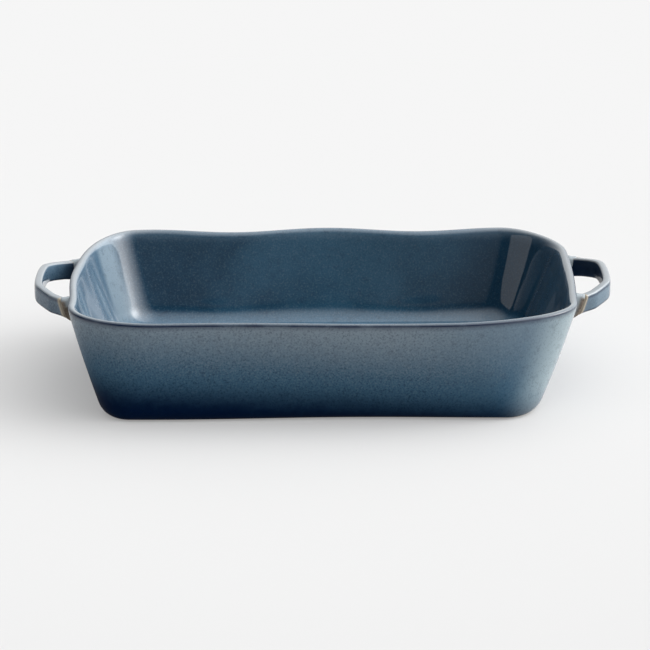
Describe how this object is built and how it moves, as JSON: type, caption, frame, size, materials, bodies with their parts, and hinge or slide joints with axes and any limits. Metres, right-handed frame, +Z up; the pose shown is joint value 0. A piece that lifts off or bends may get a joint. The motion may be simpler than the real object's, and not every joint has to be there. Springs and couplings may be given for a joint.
{
  "type": "baking dish",
  "caption": "Rectangular glazed stoneware baking dish with flared walls, a softly wavy hand-formed rim and a strap loop handle luted to each end.",
  "frame": {"origin": "middle of the footprint, on the surface that the dish stands on", "axes": "+X along the dish towards the right handle, +Y from the front wall to the back wall, +Z up"},
  "size_m": [0.415, 0.249, 0.0763],
  "materials": {
    "glaze": "gloss",
    "bare_clay": "matte"
  },
  "bodies": {
    "root": {"dish_body": "glaze", "left_handle": "glaze", "right_handle": "glaze", "left_front_slip_joint": "bare_clay", "left_back_slip_joint": "bare_clay", "right_front_slip_joint": "bare_clay", "right_back_slip_joint": "bare_clay"}
  },
  "joints": []
}
